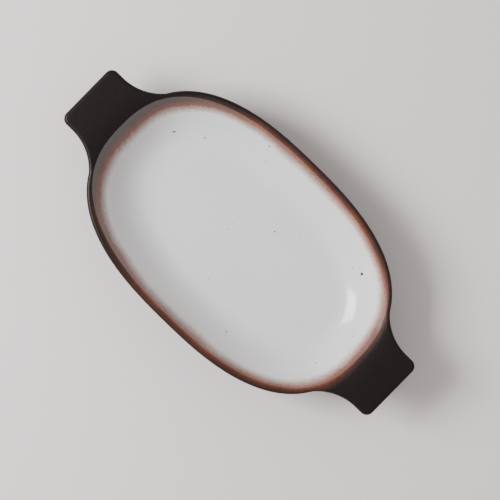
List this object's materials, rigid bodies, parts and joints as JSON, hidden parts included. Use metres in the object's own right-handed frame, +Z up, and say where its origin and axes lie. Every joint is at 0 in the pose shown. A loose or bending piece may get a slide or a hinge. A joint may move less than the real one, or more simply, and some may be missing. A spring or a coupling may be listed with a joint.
{
  "type": "oval eared dish",
  "caption": "Oval stoneware baking dish with a flat flange drawn out into two straight-ended ear handles, a foot ring and a glossy white glaze lining.",
  "frame": {"origin": "on the standing surface, under the centre of the dish", "axes": "+X along the dish towards one ear, +Y across it, +Z up out of the bowl"},
  "size_m": [0.32, 0.163, 0.045],
  "materials": {
    "dark_glaze": "satin near-black iron glaze that breaks rust red where it thins over the rim",
    "bare_clay": "matte unglazed fired stoneware",
    "white_glaze": "glossy cool white liner glaze"
  },
  "bodies": {
    "root": {"dish_body": "dark_glaze", "left_ear": "dark_glaze", "right_ear": "dark_glaze", "foot_ring": "bare_clay", "lining_glaze": "white_glaze"}
  },
  "joints": []
}
